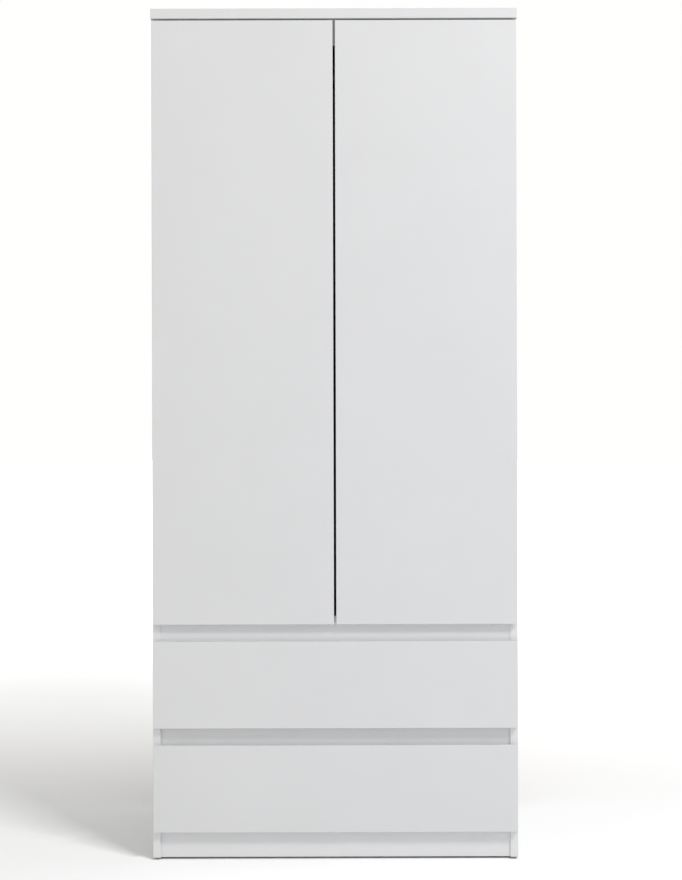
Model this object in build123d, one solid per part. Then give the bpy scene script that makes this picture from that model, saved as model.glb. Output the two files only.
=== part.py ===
from build123d import *
import os

# Two-door wardrobe with two drawers, in millimetres.
# X runs from the left side to the right side, the doors face -Y, and Z is up from the floor.
# The origin is on the floor, under the middle of the wardrobe.

# ------------------------------------------------------------------ overall size and boards
width = 776.0
depth = 500.0
height = 1806.0
board = 16.0
top_board = 21.0
drawer_board = 12.0
hardboard = 3.0

# ------------------------------------------------------------------ fronts and the gaps round them
front_inset = 2.0         # the fronts stop this far inside the outer faces of the side panels
door_gap = 5.0            # between the two doors
top_gap = 4.0             # between the doors and the top panel
front_clearance = 2.0     # between the backs of the fronts and the carcass
front_height = 184.0      # of each drawer front
first_front_bottom = 62.0
finger_gap = 36.0         # above each drawer front
undercut = 12.0           # height of the slanted finger grip behind a free edge
grip_lip = 8.0            # thickness left at the front of that edge
edge_round = 1.0

# ------------------------------------------------------------------ carcass
glide_height = 5.0
plinth_top = 64.0
upper_rail_setback = 2.0  # from the side panels' front edges to the rail under the doors
low_rail_setback = 6.0    # from the same edges to the middle rail and the plinth
upper_rail_height = 48.0
middle_rail_height = 50.0
middle_rail_overlap = 4.0  # of the middle rail above the lower edge of the upper drawer front
front_top_rail_height = 54.0
rear_top_rail_height = 60.0
back_setback = 11.0       # from the rear edges to the back panel's rear face
groove_depth = 5.0
strip_flange = 1.0
strip_web = 3.0           # between the two halves of the back panel
strip_width = 24.0
back_clearance = 2.0      # above and below the back panel
nail_rows_from_middle = (60, 180, 330)
nail_length = 15.0
glide_half_size = (7.0, 17.0)
glide_end_distance = 28.0  # from the side panel's ends to the middle of a glide
wall_hole_spacing = 600.0
wall_hole_radius = 2.75

# ------------------------------------------------------------------ clothes rail
clothes_rail_radius = 12.5
clothes_rail_wall = 1.2
clothes_rail_drop = 78.0  # from the top panel to the rail's axis
socket_plate = 3.0
socket_half_size = (15.0, 34.0)
socket_depth = 14.0
socket_screw_distance = 25.0

# ------------------------------------------------------------------ drawers and roller runners
runner_space = 12.5       # between a drawer side and the side panel
drawer_length = 450.0
drawer_height = 140.0
drawer_lift = 24.0        # from the bottom of a drawer front to the bottom of its box
drawer_travel = 340.0
drawer_back_height = 112.0
bottom_lift = 10.0        # from the box's lower edge to the drawer bottom
sheet = 1.2               # steel of the runners
channel_height = 17.0
channel_drop = 3.0        # from the box's lower edge to the floor of the channel
front_roller_radius = 8.5
rear_roller_radius = 7.8
rolling_gap = 0.3
running_gap = 0.05
axle_radius = 2.5
cabinet_screw_rows = (29, 189)
drawer_screw_rows = (-150, 20, 170)

# ------------------------------------------------------------------ hinges
# Hinge points are given as (u, v): u from the side panel's inner face towards the middle,
# v from the side panel's front edge towards the back.
hinge_end_distance = 100.0
arm_pivot = (17.5, 0.5)
cup_pivot = (-3.2, -6.2)
cup_radius = 17.5
cup_wall = 1.3
cup_depth = 11.5
cup_centre_from_edge = 22.0
pin_radius = 1.25
plate_line = 37.0         # from the side panel's front edge to the plate's screws
plate_hole_spacing = 32.0
plate_wing = 4.0          # thickness of the plate's wings
link_half_width = 5.8
ear_inner = 6.3
ear_outer = 7.5
lug_outer = 9.5
cup_screw_spacing = 48.0
cup_screw_offset = 9.5    # from the cup's centre away from the edge of the door
arm_screw_lines = (32, 53)

# ------------------------------------------------------------------ fasteners
# A place is a row from the middle of the depth, or a step up or down from a rail's middle line.
cam_radius = 7.5
cam_setback = 24.0
cam_height = 12.0
drawer_cam_height = 9.5
bolt_radius = 2.5
bolt_reach = 11.0         # into the board that the bolt is screwed to
drawer_bolt_reach = 9.0
cam_rows = (-190, 190)
dowel_rows = (-110, 110)
top_cam_rows = (-170, 170)
top_dowel_rows = (-90, 90)
rail_cam_step = 12.0
rail_dowel_step = -14.0
dowel_radius = 4.0
euro_length = 13.0
euro_radius = 2.5
euro_head_radius = 4.2

# ------------------------------------------------------------------ planes worked out from these
half = width / 2
inner = half - board
front_face = -depth / 2
front_back = front_face + board
carcass_front = front_back + front_clearance
upper_rail_face = carcass_front + upper_rail_setback
low_rail_face = carcass_front + low_rail_setback
rear = depth / 2
back_rear = rear - back_setback
back_front = back_rear - hardboard
shelf_rear = back_front - strip_flange
top_under = height - top_board
bottom_top = plinth_top + board
front_bottoms = {
    "lower": first_front_bottom,
    "upper": first_front_bottom + front_height + finger_gap,
}
door_bottom = front_bottoms["upper"] + front_height + finger_gap
door_top = top_under - top_gap
shelf_top = door_bottom + board
middle_rail_top = front_bottoms["upper"] + middle_rail_overlap
door_outer = half - front_inset
drawer_outer = inner - runner_space
drawer_inner = drawer_outer - drawer_board
hinge_levels = [
    door_bottom + hinge_end_distance,
    (door_bottom + door_top) / 2,
    door_top - hinge_end_distance,
]
rail_level = top_under - clothes_rail_drop
rear_rail_middle = top_under - rear_top_rail_height / 2
box_front = front_back
box_rear = box_front + drawer_length
runner_front = carcass_front + 2
runner_rear = runner_front + drawer_length
front_roller_y = runner_front + 12
rear_roller_y = box_rear - 10
flange_tip = inner - 10.5
roller_span = (inner - 9.9, inner - 3.4)
cup_u = cup_centre_from_edge - (door_outer - inner)
cup_screw_u = cup_u + cup_screw_offset
pieces = {}


def block(x_span, y_span, z_span):
    """A box between two values on each axis."""
    size = [span[1] - span[0] for span in (x_span, y_span, z_span)]
    middle = [(span[0] + span[1]) / 2 for span in (x_span, y_span, z_span)]
    return Pos(*middle) * Box(*size)


def rod(start, end, radius):
    """A round bar between two points that differ on one axis only."""
    start, end = Vector(start), Vector(end)
    line = end - start
    bar = Pos(0, 0, line.length / 2) * Cylinder(radius, line.length)
    return Plane(start, z_dir=line) * bar


def profile_x(points, x_span):
    """A prism along X with its outline given as (y, z) points."""
    outline = Plane.YZ.offset(x_span[0]) * Polygon(*points, align=None)
    return extrude(outline, x_span[1] - x_span[0], dir=(1, 0, 0))


def group(shapes):
    """Separate solids held as one piece list."""
    return Compound([solid for shape in shapes for solid in shape.solids()])


def mirrored(shapes):
    """The same shapes on the left side."""
    return [shape.mirror(Plane.YZ) for shape in shapes]


def both_sides(shapes):
    """Shapes made on the right side, and their mirror images."""
    return list(shapes) + mirrored(shapes)


def soften_front(shape, radius):
    """Round the edges of the face nearest to the user."""
    return fillet(shape.faces().sort_by(Axis.Y)[0].edges(), radius)


# ------------------------------------------------------------------ cam fittings and dowels
# Their own X runs from the joint into the board that holds the cam, and the cam's pocket
# opens at that board's -Z face.
def cam_fitting(place, thickness, pocket_depth, reach):
    """One cam lock, its bolt, and the holes that they need."""
    low = -thickness / 2
    pocket = rod((cam_setback, 0, low), (cam_setback, 0, low + pocket_depth), cam_radius)
    hook = rod((cam_setback - cam_radius - 1, 0, 0), (cam_setback - 0.6, 0, 0), 3.6)
    key_slots = [
        Pos(cam_setback, 0, low + 0.75) * Rot(0, 0, turn) * Box(9, 1.6, 1.5) for turn in (0, 90)
    ]
    cam = pocket - hook - key_slots[0] - key_slots[1]
    thread = rod((-reach, 0, 0), (0, 0, 0), bolt_radius)
    neck = rod((0, 0, 0), (cam_setback - 1, 0, 0), 2.2)
    collar = rod((0, 0, 0), (3, 0, 0), 3.5)
    head = rod((cam_setback - 4, 0, 0), (cam_setback - 1, 0, 0), 3.3)
    bolt = thread + neck + collar + head
    channel = rod((0, 0, 0), (cam_setback - 5, 0, 0), 4.0)
    return place * cam, place * bolt, [place * pocket, place * channel, place * thread]


def dowel(place):
    """One beech dowel across a joint."""
    return place * rod((-10, 0, 0), (20, 0, 0), dowel_radius)


def end_joints(x, y, z, spin):
    """The joint places at the left and right ends of a board that runs along X."""
    return [
        Pos(-x, y, z) * Rot(spin, 0, 0),
        Pos(x, y, z) * Rot(0, 0, 180) * Rot(-spin, 0, 0),
    ]


def euro_screw(x, y, z, seat):
    """A screw driven outwards into the right side panel, its head seated off the panel's face."""
    head = rod((x - seat - sheet, y, z), (x - seat, y, z), euro_head_radius)
    shank = rod((x - seat, y, z), (x - seat + euro_length, y, z), euro_radius)
    return head + shank


# ------------------------------------------------------------------ carcass boards
def side_panel():
    """The right side panel, without its holes."""
    panel = block((inner, half), (carcass_front, rear), (glide_height, top_under))
    panel = soften_front(panel, edge_round / 2)
    groove = block((inner, inner + groove_depth), (back_front, back_rear), (glide_height, top_under))
    return panel - groove


def carcass_boards():
    """All the boards that the side panels hold, without their holes."""
    span = (-inner, inner)
    low_rail_depth = (low_rail_face, low_rail_face + board)
    boards = {}
    top = block((-half, half), (front_face, rear), (top_under, height))
    boards["top_panel"] = soften_front(top, edge_round)
    boards["bottom_panel"] = block(span, (upper_rail_face, shelf_rear), (plinth_top, bottom_top))
    boards["fixed_shelf"] = block(span, (upper_rail_face, shelf_rear), (door_bottom, shelf_top))
    boards["plinth"] = block(span, low_rail_depth, (glide_height, plinth_top))
    boards["upper_rail"] = block(
        span, (upper_rail_face, upper_rail_face + board), (door_bottom - upper_rail_height, door_bottom)
    )
    boards["middle_rail"] = block(
        span, low_rail_depth, (middle_rail_top - middle_rail_height, middle_rail_top)
    )
    boards["front_top_rail"] = block(
        span, (carcass_front, carcass_front + board), (top_under - front_top_rail_height, top_under)
    )
    boards["rear_top_rail"] = block(
        span, (shelf_rear - board, shelf_rear), (top_under - rear_top_rail_height, top_under)
    )
    return boards


def carcass_joints():
    """Where the cams and the dowels of the carcass are."""
    cams, dowels = [], []
    for z in (plinth_top + board / 2, door_bottom + board / 2):
        for y in cam_rows:
            cams += end_joints(inner, y, z, 0)
        for y in dowel_rows:
            dowels += end_joints(inner, y, z, 0)
    rails = [
        (low_rail_face + board / 2, glide_height + (plinth_top - glide_height) / 2, 90),
        (upper_rail_face + board / 2, door_bottom - upper_rail_height / 2, 90),
        (low_rail_face + board / 2, middle_rail_top - middle_rail_height / 2, 90),
        (shelf_rear - board / 2, rear_rail_middle, -90),
    ]
    for y, z, spin in rails:
        cams += end_joints(inner, y, z + rail_cam_step, spin)
        dowels += end_joints(inner, y, z + rail_dowel_step, spin)
    cams += end_joints(
        inner, carcass_front + board / 2, top_under - front_top_rail_height / 2, 90
    )
    upright = Rot(0, 90, 0)
    for y in top_cam_rows:
        cams.append(Pos(half - board / 2, y, top_under) * upright)
        cams.append(Pos(board / 2 - half, y, top_under) * Rot(0, 0, 180) * upright)
    for y in top_dowel_rows:
        for x in (half - board / 2, board / 2 - half):
            dowels.append(Pos(x, y, top_under) * upright)
    return cams, dowels


def back_panels():
    """Two hardboard halves in the side panels' grooves, and the strip that joins them."""
    span_z = (plinth_top + back_clearance, top_under - back_clearance)
    seam = strip_web / 2
    right = block((seam, inner + groove_depth), (back_front, back_rear), span_z)
    strip = block((-seam, seam), (back_front, back_rear), span_z)
    for y_span in ((back_front - strip_flange, back_front), (back_rear, back_rear + strip_flange)):
        strip += block((-strip_width / 2, strip_width / 2), y_span, span_z)
    return right, strip


def back_nails():
    """Nails through the back panel into the boards behind it."""
    nails = []
    for z in (plinth_top + board / 2, door_bottom + board / 2, top_under - 44):
        for x in nail_rows_from_middle:
            head = rod((x, back_rear, z), (x, back_rear + 0.8, z), 3.0)
            shank = rod((x, back_rear - nail_length, z), (x, back_rear, z), 0.9)
            nails.append(head + shank)
    return both_sides(nails)


def floor_glides():
    """Nail-on plastic glides under the right side panel."""
    glides = []
    x = half - board / 2
    wide, long = glide_half_size
    for y in (carcass_front + glide_end_distance, rear - glide_end_distance):
        pad = block((x - wide, x + wide), (y - long, y + long), (0, glide_height))
        pad = fillet(pad.edges().filter_by(Axis.Z), 4)
        pad = chamfer(pad.faces().sort_by(Axis.Z)[0].edges(), 0.8)
        pad += rod((x, y, glide_height), (x, y, glide_height + 14), 1.5)
        glides.append(pad)
    return glides


def clothes_rail():
    """The tube, and one socket on the right side panel."""
    seat = inner - socket_plate
    wide, tall = socket_half_size
    tube = rod((-seat, 0, rail_level), (seat, 0, rail_level), clothes_rail_radius)
    tube -= rod((-seat, 0, rail_level), (seat, 0, rail_level), clothes_rail_radius - clothes_rail_wall)
    plate = block((seat, inner), (-wide, wide), (rail_level - tall, rail_level + tall))
    plate = fillet(plate.edges().filter_by(Axis.X), wide - 1)
    mouth = seat - socket_depth
    collar = rod((mouth, 0, rail_level), (seat, 0, rail_level), clothes_rail_radius + 3)
    collar -= rod((mouth, 0, rail_level), (seat, 0, rail_level), clothes_rail_radius)
    return tube, plate + collar


# ------------------------------------------------------------------ hinges
def at_hinge(u, v):
    """The place on the right side of a hinge point."""
    return inner - u, carcass_front + v


def hinge_prism(points, z_span):
    """A prism along Z with its outline given as hinge points."""
    outline = Polygon(*[at_hinge(u, v) for u, v in points], align=None)
    return Pos(0, 0, z_span[0]) * extrude(outline, z_span[1] - z_span[0], dir=(0, 0, 1))


def hinge_pin(pivot, z, reach, radius):
    """A round bar along Z through a hinge point."""
    x, y = at_hinge(*pivot)
    return rod((x, y, z - reach), (x, y, z + reach), radius)


def mounting_plate(z):
    """The cross-shaped plate that is screwed to the side panel."""
    x, y = at_hinge(0, plate_line)
    wings = block((x - plate_wing, x), (y - 6.5, y + 6.5), (z - 23, z + 23))
    wings = fillet(wings.edges().filter_by(Axis.X), 6)
    ridge = block((x - 8.8, x), (y - 19, y + 25), (z - 6.2, z + 6.2))
    return wings + ridge


def hinge_arm(z):
    """The folded arm that clips over the plate and carries the link's pin at its nose."""
    outline = [
        (5, 62), (10, 62), (10, 27), (20.5, 10), (20.5, -0.5),
        (19, -2.5), (16, -2.5), (14.5, -0.5), (14.5, 4), (5, 20),
    ]
    hollow = [
        (4, 63), (8.8, 63), (8.8, 26.6), (19.3, 9.6), (19.3, 4.5),
        (21, 4.5), (21, -3), (13, -3), (13, 4), (4, 20),
    ]
    arm = hinge_prism(outline, (z - ear_outer, z + ear_outer))
    arm -= hinge_prism(hollow, (z - ear_inner, z + ear_inner))
    return arm - hinge_pin(arm_pivot, z, ear_outer, pin_radius + running_gap)


def arm_screws(z):
    """The adjusting screw and the fixing screw of one arm."""
    screws = []
    for v in arm_screw_lines:
        x, y = at_hinge(0, v)
        head = rod((x - 11.6, y, z), (x - 10, y, z), 4.0)
        head -= Pos(x - 11.2, y, z) * Box(0.8, 6, 1.2)
        head -= Pos(x - 11.2, y, z) * Box(0.8, 1.2, 6)
        screws.append(head + rod((x - 10, y, z), (x - 2, y, z), 2.5))
    return screws


def hinge_link(z):
    """The bent link from the arm's nose round the rim of the cup to the pin in the cup."""
    path = [arm_pivot, (13.5, -8.0), (4.0, -9.4), cup_pivot]
    strap = None
    for start, end in zip(path, path[1:]):
        along = Vector(end[0] - start[0], end[1] - start[1])
        side = Vector(-along.Y, along.X) * (0.9 / along.length)
        corners = [
            (start[0] + side.X, start[1] + side.Y), (end[0] + side.X, end[1] + side.Y),
            (end[0] - side.X, end[1] - side.Y), (start[0] - side.X, start[1] - side.Y),
        ]
        run = hinge_prism(corners, (z - link_half_width, z + link_half_width))
        strap = run if strap is None else strap + run
    for bend in path[1:-1]:
        strap += hinge_pin(bend, z, link_half_width, 0.9)
    for pivot in (arm_pivot, cup_pivot):
        strap += hinge_pin(pivot, z, link_half_width, 2.2)
    for pivot in (arm_pivot, cup_pivot):
        strap -= hinge_pin(pivot, z, link_half_width, pin_radius)
    return strap


def hinge_pins(z):
    """The two pins of one link, which are riveted in the link."""
    return [hinge_pin(arm_pivot, z, ear_outer, pin_radius), hinge_pin(cup_pivot, z, lug_outer, pin_radius)]


def hinge_cup(z):
    """The pressed cup, its screw flange, and the lugs that hold the link's pin."""
    x, y = at_hinge(cup_u, -front_clearance)
    flange = block((x - 14, x + 4), (y, y + 1), (z - 30, z + 30))
    flange = fillet(flange.edges().filter_by(Axis.Y), 5)
    cup = rod((x, y - cup_depth, z), (x, y, z), cup_radius) + flange
    cup -= rod((x, y - cup_depth + cup_wall, z), (x, y + 1, z), cup_radius - cup_wall)
    lug = [(-8, -12.6), (0, -12.6), (0, -5), (-2, -3.8), (-8, -3.8)]
    shell = rod((x, y - cup_depth, z), (x, y, z), cup_radius)
    for z_span in ((z + ear_inner, z + lug_outer), (z - lug_outer, z - ear_inner)):
        cup += hinge_prism(lug, z_span) & shell
    return cup - hinge_pin(cup_pivot, z, lug_outer, pin_radius + running_gap)


def cup_bore(z):
    """The blind hole in the door for one cup."""
    x, y = at_hinge(cup_u, -front_clearance)
    return rod((x, y - cup_depth, z), (x, y, z), cup_radius)


def cup_screws(z):
    """The two wood screws of one cup."""
    screws = []
    for level in (z - cup_screw_spacing / 2, z + cup_screw_spacing / 2):
        x, y = at_hinge(cup_screw_u, -front_clearance)
        head = rod((x, y + 1, level), (x, y + 2.2, level), 3.4)
        head -= Pos(x, y + 1.9, level) * Box(4.6, 0.6, 1.0)
        head -= Pos(x, y + 1.9, level) * Box(1.0, 0.6, 4.6)
        screws.append(head + rod((x, y + 1, level), (x, y - 12, level), 1.75))
    return screws


def door():
    """The right door, without its holes."""
    outline = [
        (front_face, door_bottom), (front_face + grip_lip, door_bottom),
        (front_back, door_bottom + undercut), (front_back, door_top), (front_face, door_top),
    ]
    return soften_front(profile_x(outline, (door_gap / 2, door_outer)), edge_round)


# ------------------------------------------------------------------ roller runners, right side
def cabinet_runner(floor):
    """The channel on the side panel. floor is the level that the drawer's roller runs on."""
    web = (inner - sheet, inner)
    inside = (flange_tip, inner - sheet)
    length = (runner_front, runner_rear)
    top = floor + channel_height
    runner = block(web, length, (floor - sheet, top + sheet))
    runner += block(inside, length, (floor - sheet, floor))
    runner += block(inside, (front_roller_y + 14, runner_rear), (top, top + sheet))
    runner += block(inside, (runner_rear - sheet, runner_rear), (floor, top))
    stop_y = rear_roller_y - drawer_travel - 11
    runner += block(inside, (stop_y, stop_y + 5), (top - 3, top))
    return runner


def front_roller_level(floor):
    """The axis of the roller on the cabinet channel."""
    return floor + channel_height + sheet + 1 - front_roller_radius


def rear_roller_level(floor):
    """The axis of the roller on the drawer member."""
    return floor + rear_roller_radius + rolling_gap


def roller(y, z, radius):
    """A nylon roller with a shallow groove in each face."""
    wheel = rod((roller_span[0], y, z), (roller_span[1], y, z), radius)
    wheel = chamfer(wheel.edges(), 0.5)
    for x_span in ((roller_span[0], roller_span[0] + 0.8), (roller_span[1] - 0.8, roller_span[1])):
        ring = rod((x_span[0], y, z), (x_span[1], y, z), radius - 1.6)
        wheel -= ring - rod((x_span[0], y, z), (x_span[1], y, z), 4.4)
    return wheel - rod((roller_span[0], y, z), (roller_span[1], y, z), axle_radius + running_gap)


def front_axle(y, z):
    """The rivet that holds a roller to the cabinet channel."""
    axle = rod((flange_tip + 0.4, y, z), (inner, y, z), axle_radius)
    axle += rod((flange_tip - 0.5, y, z), (flange_tip + 0.4, y, z), 4.5)
    return axle + rod((roller_span[1] + 0.2, y, z), (inner - sheet, y, z), 4.0)


def rear_axle(y, z):
    """The rivet that holds a roller to the drawer member."""
    wall = drawer_outer + sheet
    axle = rod((drawer_outer, y, z), (roller_span[1] + 0.2, y, z), axle_radius)
    axle += rod((wall, y, z), (roller_span[0] - 0.2, y, z), 4.0)
    return axle + rod((roller_span[1] + 0.2, y, z), (roller_span[1] + 0.9, y, z), 4.5)


def drawer_runner(box_bottom, floor):
    """The bent strip under a drawer side, with the flange that rides on the front roller."""
    flange_level = floor + channel_height + sheet + 1 + rolling_gap
    length = (box_front + 2, box_rear)
    wall = (drawer_outer, drawer_outer + sheet)
    strip = block(wall, length, (box_bottom - sheet, flange_level + sheet))
    strip += block((drawer_inner, drawer_outer), length, (box_bottom - sheet, box_bottom))
    strip += block((wall[1], inner - 2.4), length, (flange_level, flange_level + sheet))
    return strip


def runner_screws(level):
    """Countersunk screws through one drawer member."""
    screws = []
    for y in drawer_screw_rows:
        head = rod((drawer_outer, y, level), (drawer_outer + sheet, y, level), 3.2)
        screws.append(head + rod((drawer_outer - 9, y, level), (drawer_outer, y, level), 1.5))
    return screws


# ------------------------------------------------------------------ drawers
def make_drawer(name, front_bottom):
    """One drawer: its box, front, fittings and runner members."""
    low = front_bottom + drawer_lift
    floor = low - channel_drop
    outline = [
        (front_face, front_bottom), (front_back, front_bottom),
        (front_back, front_bottom + front_height - undercut),
        (front_face + grip_lip, front_bottom + front_height),
        (front_face, front_bottom + front_height),
    ]
    front = soften_front(profile_x(outline, (-door_outer, door_outer)), edge_round)
    bottom = block(
        (-drawer_inner - groove_depth, drawer_inner + groove_depth),
        (box_front - groove_depth, box_rear),
        (low + bottom_lift, low + bottom_lift + hardboard),
    )
    side = block((drawer_inner, drawer_outer), (box_front, box_rear), (low, low + drawer_height))
    back_low = low + bottom_lift + hardboard
    back = block(
        (-drawer_inner, drawer_inner), (box_rear - drawer_board, box_rear),
        (back_low, back_low + drawer_back_height),
    )

    fittings = []
    side_middle = (drawer_inner + drawer_outer) / 2
    for z in (low + 45, low + 110):
        for x, spin in ((side_middle, 90), (-side_middle, -90)):
            fittings.append(Pos(x, box_front, z) * Rot(0, 0, 90) * Rot(spin, 0, 0))
    for z in (back_low + 25, back_low + 85):
        fittings += end_joints(drawer_inner, box_rear - drawer_board / 2, z, 90)
    made = [cam_fitting(place, drawer_board, drawer_cam_height, drawer_bolt_reach) for place in fittings]
    holes = group([hole for _, _, cuts in made for hole in cuts])
    cams, bolts = [item[0] for item in made], [item[1] for item in made]

    screws = both_sides(runner_screws(floor + 8))
    strips = both_sides([drawer_runner(low, floor)])
    axles = both_sides([rear_axle(rear_roller_y, rear_roller_level(floor))])
    rollers = both_sides([roller(rear_roller_y, rear_roller_level(floor), rear_roller_radius)])
    right_side = side - bottom - group(screws) - holes
    left_side = mirrored([side])[0] - bottom - group(screws) - holes
    strips = [strip - group(screws) - group(axles) for strip in strips]

    prefix = name + "_drawer_"
    pieces[prefix + "front"] = front - bottom - holes
    pieces[prefix + "left_side"] = left_side
    pieces[prefix + "right_side"] = right_side
    pieces[prefix + "back"] = back - holes
    pieces[prefix + "bottom"] = bottom
    pieces[prefix + "runners"] = group(strips)
    pieces[prefix + "rollers"] = group(rollers)
    pieces[prefix + "roller_axles"] = group(axles)
    pieces[prefix + "cam_locks"] = group(cams)
    pieces[prefix + "cam_bolts"] = group(bolts)
    pieces[prefix + "runner_screws"] = group(screws)


# ------------------------------------------------------------------ doors with their hinges
def make_doors():
    """Both doors, the cups and links that they carry, and the screws of the cups."""
    cups = [hinge_cup(z) for z in hinge_levels]
    screws = [screw for z in hinge_levels for screw in cup_screws(z)]
    links = [hinge_link(z) for z in hinge_levels]
    pins = [pin for z in hinge_levels for pin in hinge_pins(z)]
    panel = door() - group([cup_bore(z) for z in hinge_levels]) - group(screws)
    cups = [cup - group(screws) for cup in cups]
    made = {"door": [panel], "hinge_cups": cups, "cup_screws": screws,
            "hinge_links": links, "hinge_pins": pins}
    for name, shapes in made.items():
        pieces["right_" + name] = group(shapes)
        pieces["left_" + name] = group(mirrored(shapes))


# ------------------------------------------------------------------ carcass with its hardware
def make_carcass():
    """Everything that stands still."""
    floors = {name: low + drawer_lift - channel_drop for name, low in front_bottoms.items()}
    screws, runners, axles = [], [], []
    for name, floor in floors.items():
        runner_holes = []
        for y in (carcass_front + plate_line, *cabinet_screw_rows):
            runner_holes.append(euro_screw(inner, y, floor + channel_height / 2, 0))
        axle = front_axle(front_roller_y, front_roller_level(floor))
        runners.append(cabinet_runner(floor) - group(runner_holes) - axle)
        axles.append(axle)
        screws += runner_holes
        wheel = roller(front_roller_y, front_roller_level(floor), front_roller_radius)
        pieces[name + "_cabinet_rollers"] = group(both_sides([wheel]))

    tube, socket = clothes_rail()
    socket_screws = [
        euro_screw(inner, 0, rail_level + step, socket_plate - sheet)
        for step in (-socket_screw_distance, socket_screw_distance)
    ]
    socket -= group(socket_screws)

    plate_screws = [
        euro_screw(inner, carcass_front + plate_line, z + step, plate_wing - sheet)
        for z in hinge_levels for step in (-plate_hole_spacing / 2, plate_hole_spacing / 2)
    ]
    adjusters = [screw for z in hinge_levels for screw in arm_screws(z)]
    plates = [mounting_plate(z) - group(plate_screws) - group(adjusters) for z in hinge_levels]
    arms = [hinge_arm(z) - group(adjusters) for z in hinge_levels]

    screws = both_sides(screws + socket_screws + plate_screws)
    cam_places, dowel_places = carcass_joints()
    made = [cam_fitting(place, board, cam_height, bolt_reach) for place in cam_places]
    dowels = [dowel(place) for place in dowel_places]
    glides = both_sides(floor_glides())
    nails = back_nails()
    wall_holes = [
        rod((x, shelf_rear - board, rear_rail_middle), (x, back_rear, rear_rail_middle), wall_hole_radius)
        for x in (-wall_hole_spacing / 2, wall_hole_spacing / 2)
    ]
    holes = [hole for _, _, cuts in made for hole in cuts]
    cut = group(holes + dowels + nails + wall_holes + screws + glides)

    right_panel = side_panel()
    pieces["right_side_panel"] = right_panel - cut
    pieces["left_side_panel"] = mirrored([right_panel])[0] - cut
    for name, shape in carcass_boards().items():
        pieces[name] = shape - cut
    right_back, strip = back_panels()
    pieces["right_back_panel"] = right_back - cut
    pieces["left_back_panel"] = mirrored([right_back])[0] - cut
    pieces["back_joint_strip"] = strip
    pieces["floor_glides"] = group(glides)
    pieces["hanging_rail"] = tube
    pieces["rail_sockets"] = group(both_sides([socket]))
    pieces["cabinet_runners"] = group(both_sides(runners))
    pieces["cabinet_roller_axles"] = group(both_sides(axles))
    pieces["hinge_mounting_plates"] = group(both_sides(plates))
    pieces["hinge_arms"] = group(both_sides(arms))
    pieces["hinge_arm_screws"] = group(both_sides(adjusters))
    pieces["euro_screws"] = group(screws)
    pieces["carcass_cam_locks"] = group([item[0] for item in made])
    pieces["carcass_cam_bolts"] = group([item[1] for item in made])
    pieces["carcass_dowels"] = group(dowels)
    pieces["back_panel_nails"] = group(nails)


make_carcass()
make_doors()
for drawer_name, drawer_front_bottom in front_bottoms.items():
    make_drawer(drawer_name, drawer_front_bottom)

os.makedirs("parts", exist_ok=True)
for piece_name, piece in pieces.items():
    export_step(piece, "parts/" + piece_name + ".step")
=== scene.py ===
import bpy
import math
from mathutils import Matrix, Vector


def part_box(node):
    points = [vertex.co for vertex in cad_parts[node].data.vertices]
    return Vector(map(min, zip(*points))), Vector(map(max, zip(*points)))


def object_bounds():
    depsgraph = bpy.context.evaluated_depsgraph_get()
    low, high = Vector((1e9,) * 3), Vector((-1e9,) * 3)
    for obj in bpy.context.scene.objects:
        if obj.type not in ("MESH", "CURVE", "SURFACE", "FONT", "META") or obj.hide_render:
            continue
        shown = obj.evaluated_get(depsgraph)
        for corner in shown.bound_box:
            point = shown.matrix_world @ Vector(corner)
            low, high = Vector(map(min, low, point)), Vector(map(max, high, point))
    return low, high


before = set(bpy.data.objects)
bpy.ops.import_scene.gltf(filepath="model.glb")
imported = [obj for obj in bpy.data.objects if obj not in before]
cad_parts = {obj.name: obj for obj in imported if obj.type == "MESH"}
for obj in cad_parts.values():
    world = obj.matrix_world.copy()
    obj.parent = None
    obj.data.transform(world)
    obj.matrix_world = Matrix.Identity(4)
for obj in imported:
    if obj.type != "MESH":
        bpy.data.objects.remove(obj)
cad_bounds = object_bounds()

MM = 0.001

# A Mix node has a set of sockets for each type of value. These are the ones for colour.
SHARE, FIRST, SECOND, MIXED = 0, 6, 7, 2


# ------------------------------------------------------------------ small helpers
def linear(hex_code, share=1.0):
    """The linear colour of an sRGB hex value, dimmed to a share of its light."""
    parts = [int(hex_code[i:i + 2], 16) / 255 for i in (0, 2, 4)]
    curve = [p / 12.92 if p <= 0.04045 else ((p + 0.055) / 1.055) ** 2.4 for p in parts]
    return (*(level * share for level in curve), 1.0)


def per_mm(size):
    """The texture scale at which a pattern repeats about every size millimetres."""
    return 1 / (size * MM)


def add(tree, kind, inputs=None, stops=None, **settings):
    """Add a node with its settings. Inputs are values, or sockets to link from. A colour ramp
    also takes stops, each a place and a colour."""
    made = tree.nodes.new(kind)
    for name, value in settings.items():
        setattr(made, name, value)
    for name, value in (inputs or {}).items():
        if isinstance(value, bpy.types.NodeSocket):
            tree.links.new(value, made.inputs[name])
        else:
            made.inputs[name].default_value = value
    if stops:
        elements = made.color_ramp.elements
        elements[0].position, elements[0].color = stops[0]
        elements[1].position, elements[1].color = stops[-1]
        for place, colour in stops[1:-1]:
            elements.new(place).color = colour
    return made


def start(name):
    """A new material: the material, its empty tree, and the places on the piece, in metres."""
    material = bpy.data.materials.new(name)
    material.use_nodes = True
    tree = material.node_tree
    tree.nodes.clear()
    place = add(tree, "ShaderNodeTexCoord").outputs["Object"]
    return material, tree, place


def show(tree, shader_inputs):
    """Close a material's tree with its shader and its output."""
    shader = add(tree, "ShaderNodeBsdfPrincipled", shader_inputs)
    add(tree, "ShaderNodeOutputMaterial", {"Surface": shader.outputs[0]})


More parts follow.
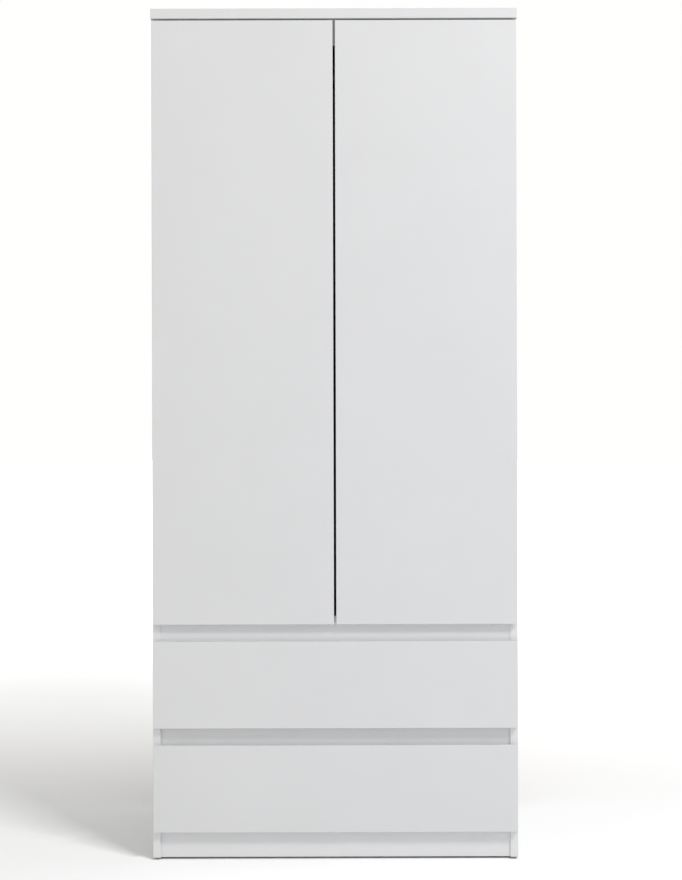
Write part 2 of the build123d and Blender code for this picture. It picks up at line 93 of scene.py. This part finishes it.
# ------------------------------------------------------------------ raw particle board
def chip_colours(tree, place):
    """Spruce chips in glue: pale flakes of 2 to 5 mm, with brown bark flecks and fine dust.
    Gives their colour, and how far each point is from the middle of its flake."""
    flakes = add(tree, "ShaderNodeTexVoronoi", {"Vector": place, "Scale": per_mm(3.2)})
    tone = add(tree, "ShaderNodeSeparateColor", {"Color": flakes.outputs["Color"]}).outputs[0]
    wood = add(tree, "ShaderNodeValToRGB", {"Fac": tone}, stops=[
        (0.0, linear("8F6B45")), (0.25, linear("B8925F")),
        (0.6, linear("D2B283")), (1.0, linear("E3CBA1")),
    ]).outputs["Color"]
    dust = add(tree, "ShaderNodeTexNoise", {
        "Vector": place, "Scale": per_mm(0.9), "Detail": 4.0, "Roughness": 0.65,
    }).outputs["Fac"]
    clean = add(tree, "ShaderNodeMapRange", {
        "Value": dust, "From Min": 0.35, "From Max": 0.7,
    }).outputs[0]
    colour = add(tree, "ShaderNodeMix", {
        SHARE: clean, FIRST: linear("9A7850"), SECOND: wood,
    }, data_type="RGBA").outputs[MIXED]
    return colour, flakes.outputs["Distance"]


def on_faces(tree, place, faces):
    """1 on the listed faces and 0 elsewhere. A face is its axis, its place along that axis and
    a tolerance, in metres. Along X, the place counts to the left and to the right."""
    parts = add(tree, "ShaderNodeSeparateXYZ", {"Vector": place})
    sideways = add(tree, "ShaderNodeMath", {0: parts.outputs["X"]}, operation="ABSOLUTE")
    along = {"X": sideways.outputs[0], "Y": parts.outputs["Y"], "Z": parts.outputs["Z"]}
    covered = 0.0
    for axis, level, tolerance in faces:
        hit = add(tree, "ShaderNodeMath", {
            0: along[axis], 1: level, 2: tolerance,
        }, operation="COMPARE").outputs[0]
        covered = add(tree, "ShaderNodeMath", {
            0: covered, 1: hit,
        }, operation="MAXIMUM").outputs[0]
    return covered


# ------------------------------------------------------------------ the finishes
def foiled_board(name, hex_code, roughness, faces=None):
    """White paper foil pressed on particle board: a clean satin white, with the very shallow
    pebble of the press plate and the slow waviness of the board under it. Where faces are
    given, the rest of the board is cut edge and drilled hole, which shows the bare chips."""
    material, tree, place = start(name)
    cloud = add(tree, "ShaderNodeTexNoise", {
        "Vector": place, "Scale": per_mm(140),
    }).outputs["Fac"]
    clouded = add(tree, "ShaderNodeMapRange", {
        "Value": cloud, "From Min": 0.3, "From Max": 0.7,
    }).outputs[0]
    colour = add(tree, "ShaderNodeMix", {
        SHARE: clouded, FIRST: linear(hex_code, 0.985), SECOND: linear(hex_code),
    }, data_type="RGBA").outputs[MIXED]
    grip = add(tree, "ShaderNodeTexNoise", {
        "Vector": place, "Scale": per_mm(1.1), "Detail": 3.0, "Roughness": 0.6,
    }).outputs["Fac"]
    polish = add(tree, "ShaderNodeMapRange", {
        "Value": grip, "From Min": 0.3, "From Max": 0.7,
        "To Min": roughness - 0.04, "To Max": roughness + 0.05,
    }).outputs[0]
    wave = add(tree, "ShaderNodeTexNoise", {
        "Vector": place, "Scale": per_mm(55), "Detail": 1.0,
    }).outputs["Fac"]
    waved = add(tree, "ShaderNodeBump", {
        "Height": wave, "Distance": 0.12 * MM, "Strength": 0.35,
    }).outputs["Normal"]
    pebble = add(tree, "ShaderNodeTexNoise", {
        "Vector": place, "Scale": per_mm(0.7),
    }).outputs["Fac"]
    relief = add(tree, "ShaderNodeBump", {
        "Height": pebble, "Distance": 0.012 * MM, "Strength": 0.5, "Normal": waved,
    }).outputs["Normal"]
    if faces:
        covered = on_faces(tree, place, faces)
        chips, depth = chip_colours(tree, place)
        colour = add(tree, "ShaderNodeMix", {
            SHARE: covered, FIRST: chips, SECOND: colour,
        }, data_type="RGBA").outputs[MIXED]
        polish = add(tree, "ShaderNodeMapRange", {
            "Value": covered, "To Min": 0.85, "To Max": polish,
        }).outputs[0]
        bare = add(tree, "ShaderNodeMath", {
            0: 1.0, 1: covered,
        }, operation="SUBTRACT").outputs[0]
        pits = add(tree, "ShaderNodeMath", {
            0: depth, 1: bare,
        }, operation="MULTIPLY").outputs[0]
        relief = add(tree, "ShaderNodeBump", {
            "Height": pits, "Distance": 0.6 * MM, "Strength": 0.8, "Normal": relief,
        }).outputs["Normal"]
    show(tree, {"Base Color": colour, "Roughness": polish, "Normal": relief, "IOR": 1.5})
    return material


def lacquered_hardboard(name, axis, bare_side):
    """Wet-process hardboard: white lacquer rolled on the good face, and on the other face the
    brown felted fibre with the print of the wire mesh that it was pressed on. The bare face
    is the one that looks along the axis, or against it where bare_side is -1."""
    material, tree, place = start(name)
    fibre = add(tree, "ShaderNodeTexNoise", {
        "Vector": place, "Scale": per_mm(2.2), "Detail": 6.0, "Roughness": 0.7,
    }).outputs["Fac"]
    felt = add(tree, "ShaderNodeValToRGB", {"Fac": fibre}, stops=[
        (0.25, linear("6B4A2E")), (0.5, linear("8E6840")), (0.75, linear("A98355")),
    ]).outputs["Color"]
    blotch = add(tree, "ShaderNodeTexNoise", {
        "Vector": place, "Scale": per_mm(90), "Detail": 3.0,
    }).outputs["Fac"]
    patchy = add(tree, "ShaderNodeMapRange", {
        "Value": blotch, "From Min": 0.3, "From Max": 0.7, "To Max": 0.5,
    }).outputs[0]
    brown = add(tree, "ShaderNodeMix", {
        SHARE: patchy, FIRST: felt, SECOND: linear("96714A"),
    }, data_type="RGBA").outputs[MIXED]
    geometry = add(tree, "ShaderNodeNewGeometry")
    facing = add(tree, "ShaderNodeSeparateXYZ", {"Vector": geometry.outputs["Normal"]})
    bare = add(tree, "ShaderNodeMath", {
        0: facing.outputs[axis], 1: bare_side * 0.5,
    }, operation="GREATER_THAN" if bare_side > 0 else "LESS_THAN").outputs[0]
    colour = add(tree, "ShaderNodeMix", {
        SHARE: bare, FIRST: linear("E9E8E5"), SECOND: brown,
    }, data_type="RGBA").outputs[MIXED]
    polish = add(tree, "ShaderNodeMapRange", {
        "Value": bare, "To Min": 0.42, "To Max": 0.78,
    }).outputs[0]
    mesh_print = add(tree, "ShaderNodeTexVoronoi", {
        "Vector": place, "Scale": per_mm(1.6), "Randomness": 0.15,
    }).outputs["Distance"]
    printed = add(tree, "ShaderNodeMath", {
        0: mesh_print, 1: bare,
    }, operation="MULTIPLY").outputs[0]
    felted = add(tree, "ShaderNodeBump", {
        "Height": fibre, "Distance": 0.05 * MM, "Strength": 0.4,
    }).outputs["Normal"]
    relief = add(tree, "ShaderNodeBump", {
        "Height": printed, "Distance": 0.15 * MM, "Strength": 0.7, "Normal": felted,
    }).outputs["Normal"]
    show(tree, {"Base Color": colour, "Roughness": polish, "Normal": relief, "IOR": 1.48})
    return material


def metal_skin(name, hex_code, roughness, grain, depth):
    """The outside of a metal piece: a fine grain, of a size and depth in millimetres, and faint
    cloudy handling marks that only the reflections show. The grain of rolled or drawn metal is
    finer than a third of a millimetre, but is drawn at about that, so that it shows close up."""
    material, tree, place = start(name)
    marks = add(tree, "ShaderNodeTexNoise", {
        "Vector": place, "Scale": per_mm(9), "Detail": 4.0, "Roughness": 0.6,
    }).outputs["Fac"]
    polish = add(tree, "ShaderNodeMapRange", {
        "Value": marks, "From Min": 0.3, "From Max": 0.75,
        "To Min": roughness * 0.8, "To Max": roughness * 1.35,
    }).outputs[0]
    fine = add(tree, "ShaderNodeTexNoise", {
        "Vector": place, "Scale": per_mm(grain), "Detail": 3.0, "Roughness": 0.6,
    }).outputs["Fac"]
    colour = add(tree, "ShaderNodeMix", {
        SHARE: fine, FIRST: linear(hex_code, 0.93), SECOND: linear(hex_code),
    }, data_type="RGBA").outputs[MIXED]
    relief = add(tree, "ShaderNodeBump", {
        "Height": fine, "Distance": depth * MM, "Strength": 0.5,
    }).outputs["Normal"]
    show(tree, {"Base Color": colour, "Roughness": polish, "Normal": relief, "Metallic": 1.0})
    return material


def moulded_plastic(name, hex_code, roughness, glow):
    """White nylon or ABS from a spark-eroded mould: an even fine grain, drawn at about a third
    of a millimetre so that it shows, and a little light that goes in and softens the thin
    edges."""
    material, tree, place = start(name)
    grain = add(tree, "ShaderNodeTexNoise", {
        "Vector": place, "Scale": per_mm(0.35),
    }).outputs["Fac"]
    flow = add(tree, "ShaderNodeTexNoise", {
        "Vector": place, "Scale": per_mm(12),
    }).outputs["Fac"]
    colour = add(tree, "ShaderNodeMix", {
        SHARE: flow, FIRST: linear(hex_code, 0.95), SECOND: linear(hex_code),
    }, data_type="RGBA").outputs[MIXED]
    polish = add(tree, "ShaderNodeMapRange", {
        "Value": grain, "From Min": 0.3, "From Max": 0.7,
        "To Min": roughness - 0.05, "To Max": roughness + 0.07,
    }).outputs[0]
    relief = add(tree, "ShaderNodeBump", {
        "Height": grain, "Distance": 0.02 * MM, "Strength": 0.5,
    }).outputs["Normal"]
    show(tree, {
        "Base Color": colour, "Roughness": polish, "Normal": relief, "IOR": 1.5,
        "Subsurface Weight": glow, "Subsurface Scale": 1.5 * MM,
    })
    return material


def powder_coated_steel():
    """Cream white epoxy powder on steel sheet: glossy, with the orange peel of the melted powder."""
    material, tree, place = start("epoxy_coated_steel")
    flow = add(tree, "ShaderNodeTexNoise", {"Vector": place, "Scale": per_mm(30)}).outputs["Fac"]
    colour = add(tree, "ShaderNodeMix", {
        SHARE: flow, FIRST: linear("DEDCD4"), SECOND: linear("E9E7E0"),
    }, data_type="RGBA").outputs[MIXED]
    peel = add(tree, "ShaderNodeTexNoise", {"Vector": place, "Scale": per_mm(1.8)}).outputs["Fac"]
    polish = add(tree, "ShaderNodeMapRange", {
        "Value": peel, "To Min": 0.26, "To Max": 0.38,
    }).outputs[0]
    relief = add(tree, "ShaderNodeBump", {
        "Height": peel, "Distance": 0.06 * MM, "Strength": 0.6,
    }).outputs["Normal"]
    show(tree, {
        "Base Color": colour, "Roughness": polish, "Normal": relief, "IOR": 1.52,
        "Coat Weight": 0.25, "Coat Roughness": 0.12,
    })
    return material


def fluted_beech():
    """Beech dowel: pale pinkish wood with short dark pore flecks along the grain, cut dry and dull."""
    material, tree, place = start("beech_dowel")
    along_grain = add(tree, "ShaderNodeMapping", {
        "Vector": place, "Scale": (0.12, 1.0, 1.0),
    }).outputs[0]
    pores = add(tree, "ShaderNodeTexNoise", {
        "Vector": along_grain, "Scale": per_mm(0.5), "Detail": 4.0, "Roughness": 0.7,
    }).outputs["Fac"]
    colour = add(tree, "ShaderNodeValToRGB", {"Fac": pores}, stops=[
        (0.3, linear("A97F5B")), (0.5, linear("C9A27C")), (0.8, linear("D9B891")),
    ]).outputs["Color"]
    polish = add(tree, "ShaderNodeMapRange", {
        "Value": pores, "To Min": 0.6, "To Max": 0.75,
    }).outputs[0]
    relief = add(tree, "ShaderNodeBump", {
        "Height": pores, "Distance": 0.08 * MM, "Strength": 0.5,
    }).outputs["Normal"]
    show(tree, {"Base Color": colour, "Roughness": polish, "Normal": relief, "IOR": 1.45})
    return material


# ------------------------------------------------------------------ where a board has foil
face_tolerance = 0.3 * MM


def faces_of(node, axes):
    """The outer faces of a node on the listed axes. An X face counts on the left and the right."""
    low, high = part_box(node)
    faces = []
    for axis in axes:
        index = "XYZ".index(axis)
        for level in (low[index], high[index]):
            faces.append((axis, abs(level) if axis == "X" else level, face_tolerance))
    return faces


def front_edge(node, depth):
    """The front edge of a board, as deep in millimetres as its rounding."""
    return [("Y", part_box(node)[0][1], depth * MM)]


# ------------------------------------------------------------------ which piece has which finish
def give(material, *nodes):
    """Put one material on whole nodes."""
    for node in nodes:
        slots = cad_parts[node].data.materials
        slots.clear()
        slots.append(material)


# Each foil's white, and how satin it is
carcass_foil = ("F0F0F0", 0.40)
top_foil = ("E7E7E7", 0.38)
front_foil = ("E7E7E7", 0.36)
drawer_foil = ("E2E2E2", 0.46)

for side in ("left", "right"):
    node = side + "_side_panel"
    side_faces = faces_of(node, "X") + front_edge(node, 0.8)
    give(foiled_board(node + "_foil", *carcass_foil, side_faces), node)
top_faces = faces_of("top_panel", "XZ") + front_edge("top_panel", 1.3)
give(foiled_board("top_panel_foil", *top_foil, top_faces), "top_panel")
for node in ("bottom_panel", "fixed_shelf"):
    panel_faces = faces_of(node, "Z") + front_edge(node, 0.4)
    give(foiled_board(node + "_foil", *carcass_foil, panel_faces), node)
for node in ("plinth", "upper_rail", "middle_rail", "front_top_rail", "rear_top_rail"):
    give(foiled_board(node + "_foil", *carcass_foil, faces_of(node, "YZ")), node)

# The doors and the drawer fronts are foiled all round
front_board = foiled_board("front_foil", *front_foil)
give(front_board, "left_door", "right_door", "upper_drawer_front", "lower_drawer_front")

back_board = lacquered_hardboard("back_hardboard", "Y", bare_side=1)
drawer_base = lacquered_hardboard("drawer_hardboard", "Z", bare_side=-1)

# Chromium left satin on a drawn tube: bright, but it mirrors only broad light and shade
chrome = metal_skin("satin_chrome_tube", "D9DBDE", roughness=0.34, grain=0.4, depth=0.004)
# Nickel on pressed steel: a little warmer and shinier
nickel = metal_skin("nickel_plated_steel", "D8D6D0", roughness=0.26, grain=0.3, depth=0.008)
# Zinc alloy as it leaves the die: grey and dull, with a coarser cast grain
zinc = metal_skin("die_cast_zinc", "9C9DA0", roughness=0.42, grain=0.5, depth=0.05)

coated = powder_coated_steel()
nylon = moulded_plastic("nylon_roller", "ECEBE4", roughness=0.36, glow=0.25)
white_abs = moulded_plastic("white_abs", "E3E3E1", roughness=0.42, glow=0.1)
beech = fluted_beech()

give(back_board, "left_back_panel", "right_back_panel")
give(white_abs, "back_joint_strip", "floor_glides")
give(chrome, "hanging_rail", "rail_sockets")
give(coated, "cabinet_runners")
give(nickel, "cabinet_roller_axles", "hinge_mounting_plates", "hinge_arms", "hinge_arm_screws",
     "euro_screws", "carcass_cam_bolts", "back_panel_nails")
give(zinc, "carcass_cam_locks")
give(beech, "carcass_dowels")
for side in ("left", "right"):
    give(nickel, side + "_hinge_links", side + "_hinge_pins", side + "_hinge_cups", side + "_cup_screws")
for level in ("upper", "lower"):
    drawer = level + "_drawer_"
    for part in ("left_side", "right_side"):
        faces = faces_of(drawer + part, "XZ") + front_edge(drawer + part, 0.3)
        give(foiled_board(drawer + part + "_foil", *drawer_foil, faces), drawer + part)
    back_faces = faces_of(drawer + "back", "YZ")
    give(foiled_board(drawer + "back_foil", *drawer_foil, back_faces), drawer + "back")
    give(drawer_base, drawer + "bottom")
    give(coated, drawer + "runners")
    give(nylon, drawer + "rollers", level + "_cabinet_rollers")
    give(nickel, drawer + "roller_axles", drawer + "cam_bolts", drawer + "runner_screws")
    give(zinc, drawer + "cam_locks")


# ------------------------------------------------------------------ floor, light and camera
def studio_floor():
    """White paper floor with a painted glow, in place of studio light all round, that only the view
    sees.
    It rises behind the wardrobe and far from it, so the floor burns out there and the wardrobe's shadow
    on it fades towards the back. What the view sees of it is whiter than what the wardrobe gets back."""
    half = 30.0
    mesh = bpy.data.meshes.new("studio_floor")
    corners = [(-half, -half, 0), (half, -half, 0), (half, half, 0), (-half, half, 0)]
    mesh.from_pydata(corners, [], [(0, 1, 2, 3)])
    floor = bpy.data.objects.new("studio_floor", mesh)
    bpy.context.scene.collection.objects.link(floor)

    material, tree, place = start("studio_paper")
    grain = add(tree, "ShaderNodeTexNoise", {"Vector": place, "Scale": per_mm(3)}).outputs["Fac"]
    paper = add(tree, "ShaderNodeMix", {
        SHARE: grain, FIRST: linear("F5F5F4"), SECOND: linear("F9F9F9"),
    }, data_type="RGBA").outputs[MIXED]
    seen = add(tree, "ShaderNodeLightPath").outputs["Is Camera Ray"]
    colour = add(tree, "ShaderNodeMix", {
        SHARE: seen, FIRST: linear("D3D3D3"), SECOND: paper,
    }, data_type="RGBA").outputs[MIXED]
    # Painted light: an emission that only the view sees. It rises behind the wardrobe and with distance
    # from it, so the floor burns out white there and the cast shadow fades.
    back = add(tree, "ShaderNodeSeparateXYZ", {"Vector": place}).outputs["Y"]
    glow_behind = add(tree, "ShaderNodeMapRange", {
        "Value": back, "From Min": -0.3, "From Max": 1.9, "To Max": 0.38,
    }, interpolation_type="SMOOTHSTEP").outputs[0]
    away = add(tree, "ShaderNodeVectorMath", {0: place}, operation="LENGTH").outputs["Value"]
    glow_all_round = add(tree, "ShaderNodeMapRange", {
        "Value": away, "From Min": 1.8, "From Max": 5.0, "To Max": 0.6,
    }, interpolation_type="SMOOTHSTEP").outputs[0]
    glow_total = add(tree, "ShaderNodeMath", {0: glow_behind, 1: glow_all_round}, operation="ADD").outputs[0]
    painted_glow = add(tree, "ShaderNodeMath", {0: glow_total, 1: seen}, operation="MULTIPLY").outputs[0]
    show(tree, {
        "Base Color": colour, "Roughness": 0.9, "Specular IOR Level": 0.0,
        "Emission Color": (1, 1, 1, 1), "Emission Strength": painted_glow,
    })
    mesh.materials.append(material)
    return floor


def soft_box(name, place, width, height, watts, colour=(1.0, 1.0, 1.0)):
    """A rectangular soft box at place, turned to face the middle of the wardrobe's front."""
    front = cad_bounds[0][1]
    aim = Vector((0, front, 0.9)) - Vector(place)
    data = bpy.data.lights.new(name, "AREA")
    data.shape = "RECTANGLE"
    data.size, data.size_y, data.energy, data.color = width, height, watts, colour
    lamp = bpy.data.objects.new(name, data)
    lamp.location = place
    lamp.rotation_euler = aim.to_track_quat("-Z", "Y").to_euler()
    bpy.context.scene.collection.objects.link(lamp)
    return lamp


def studio_light(floor):
    """A wide strip soft box high on the right in front of the wardrobe, a second one beside it
    that only the floor takes light from, and three weak fills, one of them cool."""
    soft_box("key_strip", (1.83, -2.65, 3.1), width=1.5, height=0.28, watts=50)
    floor_key = soft_box("floor_key_strip", (1.62, -2.65, 2.92), width=1.15, height=0.38, watts=68)
    floor_only = bpy.data.collections.new("floor_only")
    floor_only.objects.link(floor)
    floor_key.light_linking.receiver_collection = floor_only
    soft_box("high_left_fill", (-1.9, -2.7, 2.9), width=1.0, height=0.38, watts=6.5)
    soft_box("low_left_card", (-2.2, -2.6, 0.4), width=1.6, height=0.8, watts=5.5)
    soft_box("cool_side", (1.9, -2.0, 0.8), width=0.6, height=0.9, watts=2.4, colour=(0.3, 0.5, 1.0))


def white_walls():
    """White walls all round, which the view sees brighter than they light the wardrobe."""
    world = bpy.data.worlds.new("white_studio")
    world.use_nodes = True
    tree = world.node_tree
    tree.nodes.clear()
    seen = add(tree, "ShaderNodeLightPath").outputs["Is Camera Ray"]
    strength = add(tree, "ShaderNodeMapRange", {
        "Value": seen, "To Min": 0.55, "To Max": 1.0,
    }).outputs[0]
    glow = add(tree, "ShaderNodeBackground", {
        "Color": (1.0, 0.997, 0.99, 1.0), "Strength": strength,
    })
    add(tree, "ShaderNodeOutputWorld", {"Surface": glow.outputs[0]})
    bpy.context.scene.world = world


def camera():
    """Level, in front of the wardrobe at a little over half its height."""
    front = cad_bounds[0][1]
    distance = 3.75
    eye_height = 0.956
    to_the_right = 0.0135
    sideways_tilt = -0.15
    data = bpy.data.cameras.new("camera")
    data.sensor_width = 36.0
    data.lens = 72.5
    data.shift_y = -0.0342
    data.clip_end = 100
    view = bpy.data.objects.new("camera", data)
    level = Matrix.Rotation(math.radians(90), 4, "X")
    roll = Matrix.Rotation(math.radians(sideways_tilt), 4, "Z")
    view.matrix_world = Matrix.Translation((to_the_right, front - distance, eye_height)) @ level @ roll
    bpy.context.scene.collection.objects.link(view)
    bpy.context.scene.camera = view


studio_light(studio_floor())
white_walls()
camera()
bpy.context.scene.view_settings.view_transform = "Standard"
bpy.context.scene.view_settings.look = "None"
